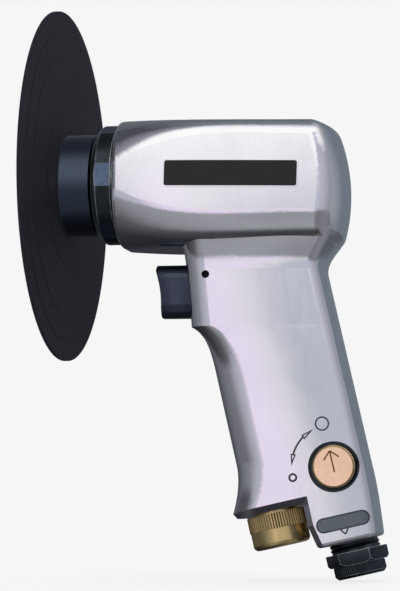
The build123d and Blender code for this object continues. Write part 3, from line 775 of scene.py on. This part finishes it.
class SANDER_OT_badge(bpy.types.Operator):
    """Puts a bare black plate with a bright edge on the barrel"""

    bl_idname = "sander.badge"
    bl_label = "Badge plate"

    def execute(self, context):
        sizes = context.scene.sander_sizes
        long, high, border = sizes.badge_length, sizes.badge_height, sizes.badge_border
        lean = math.radians(-1.4)
        along = Vector((math.cos(lean), 0, math.sin(lean)))
        centre = Vector((65.9, -40.0, -0.3)) * MM
        place = axes(centre, along, TOWARDS_VIEWER)
        corner, field_corner = 1.2 * MM, 0.85 * MM
        rim_thickness, field_thickness = 0.7 * MM, 0.56 * MM
        cut_length = long - 3 * MM
        rim = flat_rim(flat_plate(long, high, corner, cut_length), border)
        lay_on_casting(set_down(rim, place), rim_thickness)
        dress(rim, "badge_edge", "housing", "cast_aluminium", "badge_edge")
        inside = 2 * border - LAP
        field = flat_plate(long - inside, high - inside, field_corner, cut_length)
        lay_on_casting(set_down(field, place), field_thickness)
        dress(field, "badge_plate", "housing", "trigger_plastic", "badge")
        return {"FINISHED"}


class SANDER_OT_plaque(bpy.types.Operator):
    """Puts a bare plaque with a raised edge and a pointer to the air inlet on the inlet boss"""

    bl_idname = "sander.plaque"
    bl_label = "Inlet plaque"

    def execute(self, context):
        sizes = context.scene.sander_sizes
        long, high, border = sizes.plaque_length, sizes.plaque_height, sizes.plaque_border
        place = on_side(on_grip(24.6, -11.2), CLEAR)
        roundness = 0.48
        rim_thickness, field_thickness = 0.3 * MM, 0.2 * MM
        low = -high / 2
        reach, drop = 1.3 * MM, 1.7 * MM
        rim = joined(
            [
                flat_rim(flat_plate(long, high, roundness * high, long - high), border),
                flat_bar((-reach, low), (0, low - drop), border),
                flat_bar((reach, low), (0, low - drop), border),
            ]
        )
        lay_on_casting(set_down(rim, place), rim_thickness)
        # The raised edge and the pointer take the dark engraving finish: painted shade along the plaque's border.
        dress(rim, "plaque_edge", "housing", "cast_aluminium", "engraving")
        inside = 2 * border - LAP
        field_length, field_height = long - inside, high - inside
        field = flat_plate(field_length, field_height, roundness * field_height, field_length)
        lay_on_casting(set_down(field, place), field_thickness)
        dress(field, "plaque_field", "housing", "cast_aluminium", "plaque")
        return {"FINISHED"}


class SANDER_OT_flow_marks(bpy.types.Operator):
    """Engraves the flow marks by the regulator: a large circle, a small one and a two-headed arc"""

    bl_idname = "sander.flow_marks"
    bl_label = "Flow marks"

    def execute(self, context):
        sizes = context.scene.sander_sizes
        width, radius = sizes.mark_width, sizes.flow_radius
        head_width, head_line = 1.9 * MM, 0.85 * width
        large_radius, large_place = 2.5 * MM, on_side(on_grip(25.2, 23.0), CLEAR)
        small_radius, small_place = 1.56 * MM, on_side(on_grip(11.2, 7.2), CLEAR)
        thickness = 0.08 * MM

        def round_regulator(degrees):
            angle = math.radians(degrees)
            return (radius * math.cos(angle), radius * math.sin(angle))

        def arc_head(tip, foot):
            return hollow_head(round_regulator(tip), round_regulator(foot), head_width, head_line)

        arc = joined(
            [
                flat_arc(radius, 122.0, 152.0, 1.2 * width),
                arc_head(106.0, 124.0),
                arc_head(166.5, 150.0),
            ]
        )
        marks = joined(
            [
                set_down(arc, on_side(REGULATOR_CENTRE, CLEAR)),
                set_down(flat_ring(large_radius, width), large_place),
                set_down(flat_ring(small_radius, 1.3 * width, points=40), small_place),
            ]
        )
        lay_on_casting(marks, thickness)
        dress(marks, "flow_marks", "housing", "cast_aluminium", "engraving")
        return {"FINISHED"}


class SANDER_OT_regulator(bpy.types.Operator):
    """Knurls the regulator's rim and engraves the arrow on its face"""

    bl_idname = "sander.regulator"
    bl_label = "Regulator face"

    def execute(self, context):
        sizes = context.scene.sander_sizes
        face = -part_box("regulator_valve")[0].y
        place = on_side(REGULATOR_CENTRE, face)
        tooth_depth = 0.025
        rim = toothed_ring(
            sizes.regulator_teeth,
            tooth_depth,
            (6.5, -2.4),
            (7.2, -2.4),
            (7.36, -2.2),
            (7.36, -0.75),
            (6.85, 0.02),
            (6.6, 0.06),
            (6.5, -0.3),
        )
        set_down(rim, place)
        # The knurled rim takes the darker brass: painted shade between its teeth.
        dress(rim, "regulator_rim", "regulator", "brass", "knurl_brass_painted_shade")
        tail, tip, barb = -2.0 * MM, 5.5 * MM, 2.7 * MM
        width, thickness = sizes.mark_width, 0.06 * MM
        arrow = joined(
            [
                flat_bar((0, tail), (0, tip), width),
                flat_bar((0, tip), (-barb, tip - barb), width),
                flat_bar((0, tip), (barb, tip - barb), width),
            ]
        )
        modify(arrow, "SOLIDIFY", thickness=thickness, offset=0.0)
        set_down(arrow, place)
        dress(arrow, "regulator_arrow", "regulator", "copper", "copper_mark")
        return {"FINISHED"}


class SANDER_OT_deflector(bpy.types.Operator):
    """Knurls the upper band of the exhaust deflector"""

    bl_idname = "sander.deflector"
    bl_label = "Deflector knurl"

    def execute(self, context):
        tooth_depth = 0.036
        band = toothed_ring(
            context.scene.sander_sizes.deflector_teeth,
            tooth_depth,
            (9.4, -8.4),
            (9.77, -8.4),
            (10.02, -8.15),
            (10.02, -3.0),
            (9.77, -2.75),
            (9.4, -2.75),
        )
        set_down(band, on_grip_axis(EXHAUST_FOOT))
        # The knurled band takes the darker brass: painted shade between its teeth.
        dress(band, "deflector_knurl", "deflector", "brass", "knurl_brass_painted_shade")
        return {"FINISHED"}


class SANDER_OT_inlet(bpy.types.Operator):
    """Adds the thread and the end serration of the air inlet"""

    bl_idname = "sander.inlet"
    bl_label = "Inlet thread and serration"

    def execute(self, context):
        sizes = context.scene.sander_sizes
        place = on_grip_axis(INLET_MOUTH)
        tooth_depth = 0.024
        end = toothed_ring(
            sizes.inlet_teeth,
            tooth_depth,
            (8.3, 1.0),
            (8.73, 1.0),
            (8.93, 1.2),
            (8.93, 4.0),
            (8.73, 4.2),
            (8.3, 4.2),
        )
        dress(set_down(end, place), "inlet_serration", "housing", "black_steel")
        root, height, turns, low = 8.3 * MM, 0.55 * MM, 1.6, 9.45 * MM
        ridge = thread_ridge(root, height, sizes.thread_pitch, turns, low)
        dress(set_down(ridge, place), "inlet_thread", "housing", "black_steel")
        return {"FINISHED"}


# Tones of the studio in reflections: walls, a table below them and a canopy at the left.
# Each is a ring of tones by degrees round the tool from the viewer, positive to the right.
WALLS = (
    (-180, (0.17, 0.20, 0.23)),
    (-165, (0.10, 0.11, 0.12)),
    (-140, (0.08, 0.085, 0.095)),
    (-112, (0.16, 0.17, 0.185)),
    (-95, (0.20, 0.21, 0.23)),
    (-69, (0.27, 0.285, 0.31)),
    (-56, (0.38, 0.40, 0.44)),
    (-40, (0.51, 0.52, 0.58)),
    (-25, (0.56, 0.56, 0.63)),
    (-18, (0.66, 0.65, 0.73)),
    (-4, (0.56, 0.60, 0.66)),
    (10, (0.60, 0.62, 0.70)),
    (45, (0.53, 0.55, 0.60)),
    (100, (0.36, 0.38, 0.42)),
    (135, (0.36, 0.39, 0.42)),
    (150, (0.18, 0.22, 0.25)),
    (180, (0.17, 0.20, 0.23)),
)
TABLE = (
    (-180, (0.16, 0.172, 0.185)),
    (-173, (0.04, 0.043, 0.05)),
    (-160, (0.022, 0.023, 0.027)),
    (-120, (0.033, 0.034, 0.040)),
    (-95, (0.055, 0.056, 0.062)),
    (-63, (0.11, 0.115, 0.12)),
    (-50, (0.19, 0.20, 0.21)),
    (-35, (0.30, 0.315, 0.33)),
    (-10, (0.395, 0.415, 0.43)),
    (-2, (0.30, 0.315, 0.33)),
    (12, (0.22, 0.23, 0.245)),
    (90, (0.25, 0.26, 0.275)),
    (135, (0.19, 0.20, 0.215)),
    (155, (0.105, 0.112, 0.125)),
    (168, (0.115, 0.125, 0.138)),
    (180, (0.16, 0.172, 0.185)),
)
CANOPY = (
    (-180, (0.17, 0.19, 0.21)),
    (-125, (0.12, 0.13, 0.145)),
    (-110, (0.085, 0.09, 0.10)),
    (-65, (0.085, 0.09, 0.10)),
    (-50, (0.21, 0.22, 0.25)),
    (-38, (0.30, 0.31, 0.35)),
    (180, (0.30, 0.31, 0.35)),
)
CEILING = (0.22, 0.25, 0.26)
GROUND = (0.065, 0.067, 0.07)
UNDERFOOT = (0.028, 0.028, 0.036)

# The two bright screens before the tool: the low one's body and its right edge,
# and the high one's lower edge and its body
LOW_SCREEN = (0.98, 0.90, 1.04), (0.85, 0.875, 0.84)
HIGH_SCREEN = (0.98, 0.91, 1.02), (1.23, 1.26, 1.19)


class SANDER_OT_stage(bpy.types.Operator):
    """Sets the floor, the light and the camera"""

    bl_idname = "sander.stage"
    bl_label = "Studio stage"

    def execute(self, context):
        colours = context.scene.sander_colours
        context.scene.view_settings.view_transform = "Standard"
        self.floor(colours)
        self.world(context.scene, colours)
        self.lamps()
        self.camera(context.scene)
        return {"FINISHED"}

    def floor(self, colours):
        """A pale floor: seen plainly, it glows as the backdrop does and keeps a faint shadow."""
        deselect()
        bpy.ops.mesh.primitive_plane_add(size=8.0, location=(0, 0, CAD_BOX[0].z - 0.2 * MM))
        floor = bpy.context.object
        floor.name = "studio_floor"
        material, nodes, link, shader = finish("studio_floor")
        nodes.remove(shader)
        ground = nodes.new("ShaderNodeBsdfDiffuse")
        ground.inputs["Color"].default_value = rgba((0.82, 0.82, 0.82))
        plain = nodes.new("ShaderNodeEmission")
        plain.inputs["Color"].default_value = rgba(colours.backdrop)
        coords = nodes.new("ShaderNodeTexCoord")
        distance = nodes.new("ShaderNodeVectorMath")
        distance.operation = "LENGTH"
        path = nodes.new("ShaderNodeLightPath")
        share = nodes.new("ShaderNodeMapRange")
        share.inputs["From Min"].default_value = 0.2
        share.inputs["From Max"].default_value = 0.9
        share.inputs["To Min"].default_value = 0.86
        share.inputs["To Max"].default_value = 1.0
        plainly = nodes.new("ShaderNodeMath")
        plainly.operation = "MULTIPLY"
        seen = nodes.new("ShaderNodeMixShader")
        link(coords.outputs["Object"], distance.inputs[0])
        link(distance.outputs["Value"], share.inputs["Value"])
        link(share.outputs["Result"], plainly.inputs[0])
        link(path.outputs["Is Camera Ray"], plainly.inputs[1])
        link(plainly.outputs["Value"], seen.inputs["Fac"])
        link(ground.outputs["BSDF"], seen.inputs[1])
        link(plain.outputs["Emission"], seen.inputs[2])
        link(seen.outputs["Shader"], nodes["Material Output"].inputs["Surface"])
        floor.visible_glossy = False
        floor.data.materials.append(material)

    def world(self, scene, colours):
        """A pale backdrop; in reflections, a grey studio with two bright screens before the tool."""
        world = bpy.data.worlds.new("studio")
        scene.world = world
        world.use_nodes = True
        nodes = world.node_tree.nodes
        link = world.node_tree.links.new
        nodes.clear()
        coords = nodes.new("ShaderNodeTexCoord")
        split = nodes.new("ShaderNodeSeparateXYZ")
        link(coords.outputs["Generated"], split.inputs["Vector"])

        def calculate(operation, first, second):
            node = nodes.new("ShaderNodeMath")
            node.operation = operation
            for socket, value in zip(node.inputs, (first, second)):
                if isinstance(value, float):
                    socket.default_value = value
                else:
                    link(value, socket)
            return node.outputs["Value"]

        def product(first, *others):
            for other in others:
                first = calculate("MULTIPLY", first, other)
            return first

        def step(value, start, end):
            """A mask that rises from 0 to 1 between two angles in degrees."""
            span = nodes.new("ShaderNodeMapRange")
            span.interpolation_type = "SMOOTHSTEP"
            span.inputs["From Min"].default_value = math.radians(start)
            span.inputs["From Max"].default_value = math.radians(end)
            link(value, span.inputs["Value"])
            return span.outputs["Result"]

        def share(mask, least):
            """A factor that falls from 1 to its least value as a mask rises."""
            return calculate("SUBTRACT", 1.0, product(mask, 1.0 - least))

        def blend(mask, below, above):
            mix = nodes.new("ShaderNodeMix")
            mix.data_type = "RGBA"
            link(mask, mix.inputs["Factor"])
            for tone, socket in ((below, mix.inputs[COLOUR_A]), (above, mix.inputs[COLOUR_B])):
                if isinstance(tone, tuple):
                    socket.default_value = rgba(tone)
                else:
                    link(tone, socket)
            return mix.outputs[COLOUR_RESULT]

        def ring(tones):
            """The tone of a ring in the direction that is looked at."""
            ramp = nodes.new("ShaderNodeValToRGB")
            stops = ramp.color_ramp.elements
            for degrees, _ in tones[1:-1]:
                stops.new(degrees / 360 + 0.5)
            for stop, (degrees, value) in zip(stops, tones):
                stop.position = degrees / 360 + 0.5
                stop.color = rgba(value)
            link(calculate("ADD", calculate("DIVIDE", turn, 2 * math.pi), 0.5), ramp.inputs["Fac"])
            return ramp.outputs["Color"]

        # Angles of the direction: round the tool from the viewer, and up from the level
        turn = calculate("ARCTAN2", split.outputs["X"], product(split.outputs["Y"], -1.0))
        rise = calculate("ARCSINE", split.outputs["Z"], 0.0)

        # The table's edge stands lower towards the left
        leftward = calculate("MAXIMUM", product(turn, -0.09), 0.0)
        table_rise = calculate("ADD", rise, product(leftward, step(turn, -165, -135)))
        tone = blend(step(table_rise, 1, -7), ring(WALLS), ring(TABLE))
        tone = blend(product(step(turn, -26, -36), step(rise, 5, 12)), tone, ring(CANOPY))
        tone = blend(step(rise, 62, 82), tone, CEILING)
        tone = blend(step(rise, -58, -80), tone, GROUND)
        tone = blend(step(rise, -78, -88), tone, UNDERFOOT)

        # The low screen's right edge leans
        slant = calculate("ADD", turn, product(rise, 1.05))
        low_screen = product(step(rise, -9, 0), step(turn, -27, -15), step(slant, -1, -4))
        tone = blend(low_screen, tone, blend(step(slant, -8, -4), *LOW_SCREEN))

        # The high screen's lower edge stands higher towards the right
        lifted = product(
            rise, share(step(turn, -6.4, -4.6), 0.86), share(step(turn, 0, 36), 0.405)
        )
        high_screen = product(
            step(lifted, 7.7, 8.5), step(rise, 74, 44), step(turn, -36, -26), step(turn, 130, 48)
        )
        tone = blend(high_screen, tone, blend(step(lifted, 8.7, 9.5), *HIGH_SCREEN))

        reflected = nodes.new("ShaderNodeBackground")
        seen = nodes.new("ShaderNodeBackground")
        seen.inputs["Color"].default_value = rgba(colours.backdrop)
        around = nodes.new("ShaderNodeBackground")
        around.inputs["Color"].default_value = (0.93, 0.95, 1.0, 1)
        around.inputs["Strength"].default_value = 0.55
        path = nodes.new("ShaderNodeLightPath")
        glossy = nodes.new("ShaderNodeMixShader")
        camera = nodes.new("ShaderNodeMixShader")
        output = nodes.new("ShaderNodeOutputWorld")
        link(tone, reflected.inputs["Color"])
        link(path.outputs["Is Glossy Ray"], glossy.inputs["Fac"])
        link(around.outputs["Background"], glossy.inputs[1])
        link(reflected.outputs["Background"], glossy.inputs[2])
        link(path.outputs["Is Camera Ray"], camera.inputs["Fac"])
        link(glossy.outputs["Shader"], camera.inputs[1])
        link(seen.outputs["Background"], camera.inputs[2])
        link(camera.outputs["Shader"], output.inputs["Surface"])

    def lamps(self):
        """Soft lamps round the tool, which its metal does not mirror."""
        middle = Vector((0.055, 0, -0.04))
        for name, place, size, power, tint in (
            ("left_softbox", (-0.75, -0.85, 0.55), 0.7, 6.0, (0.93, 0.96, 1.0)),
            ("right_softbox", (0.95, -0.7, 0.35), 0.6, 4.0, (1.0, 0.98, 0.96)),
            ("top_softbox", (0.1, 0.15, 1.0), 0.8, 5.0, (1.0, 1.0, 1.0)),
            ("back_softbox", (0.3, 0.95, 0.4), 0.8, 4.0, (0.96, 0.98, 1.0)),
        ):
            light = bpy.data.lights.new(name, "AREA")
            light.shape = "SQUARE"
            light.size = size
            light.energy = power
            light.color = tint
            lamp = bpy.data.objects.new(name, light)
            bpy.context.scene.collection.objects.link(lamp)
            lamp.location = place
            aim = middle - lamp.location
            lamp.rotation_mode = "QUATERNION"
            lamp.rotation_quaternion = aim.to_track_quat("-Z", "Y")
            lamp.visible_glossy = False

    def camera(self, scene):
        azimuth, elevation, roll = (math.radians(a) for a in (10.8, -5.6, 0.3))
        target, distance = Vector((50.78 * MM, 0, -40.45 * MM)), 0.75
        back = Vector(
            (
                math.sin(azimuth) * math.cos(elevation),
                -math.cos(azimuth) * math.cos(elevation),
                math.sin(elevation),
            )
        )
        right = Vector((math.cos(azimuth), math.sin(azimuth), 0))
        up = back.cross(right)
        tilted_right = math.cos(roll) * right + math.sin(roll) * up
        tilted_up = math.cos(roll) * up - math.sin(roll) * right
        lens = bpy.data.cameras.new("camera")
        lens.sensor_width = 36.0
        lens.lens = 127.5
        lens.clip_start = 0.01
        lens.clip_end = 50.0
        camera = bpy.data.objects.new("camera", lens)
        scene.collection.objects.link(camera)
        turn = Matrix((tilted_right, tilted_up, back)).transposed().to_4x4()
        camera.matrix_world = Matrix.Translation(target + back * distance) @ turn
        scene.camera = camera


class SANDER_PT_panel(bpy.types.Panel):
    """Lists the steps that dress the sander"""

    bl_idname = "SANDER_PT_panel"
    bl_label = "Sander"
    bl_space_type = "VIEW_3D"
    bl_region_type = "UI"
    bl_category = "Sander"

    def draw(self, context):
        for step in STEPS:
            self.layout.operator(step.bl_idname)
        for settings in (context.scene.sander_sizes, context.scene.sander_colours):
            for name in settings.__annotations__:
                self.layout.prop(settings, name)


STEPS = (
    SANDER_OT_finishes,
    SANDER_OT_broken_edges,
    SANDER_OT_badge,
    SANDER_OT_plaque,
    SANDER_OT_flow_marks,
    SANDER_OT_regulator,
    SANDER_OT_deflector,
    SANDER_OT_inlet,
    SANDER_OT_stage,
)
CLASSES = (SanderSizes, SanderColours) + STEPS + (SANDER_PT_panel,)


def register():
    for cls in CLASSES:
        bpy.utils.register_class(cls)
    bpy.types.Scene.sander_sizes = PointerProperty(type=SanderSizes)
    bpy.types.Scene.sander_colours = PointerProperty(type=SanderColours)


def unregister():
    del bpy.types.Scene.sander_colours
    del bpy.types.Scene.sander_sizes
    for cls in reversed(CLASSES):
        bpy.utils.unregister_class(cls)


def main():
    register()
    bpy.ops.sander.finishes()
    bpy.ops.sander.broken_edges()
    bpy.ops.sander.badge()
    bpy.ops.sander.plaque()
    bpy.ops.sander.flow_marks()
    bpy.ops.sander.regulator()
    bpy.ops.sander.deflector()
    bpy.ops.sander.inlet()
    bpy.ops.sander.stage()
    deselect()


if __name__ == "__main__":
    main()
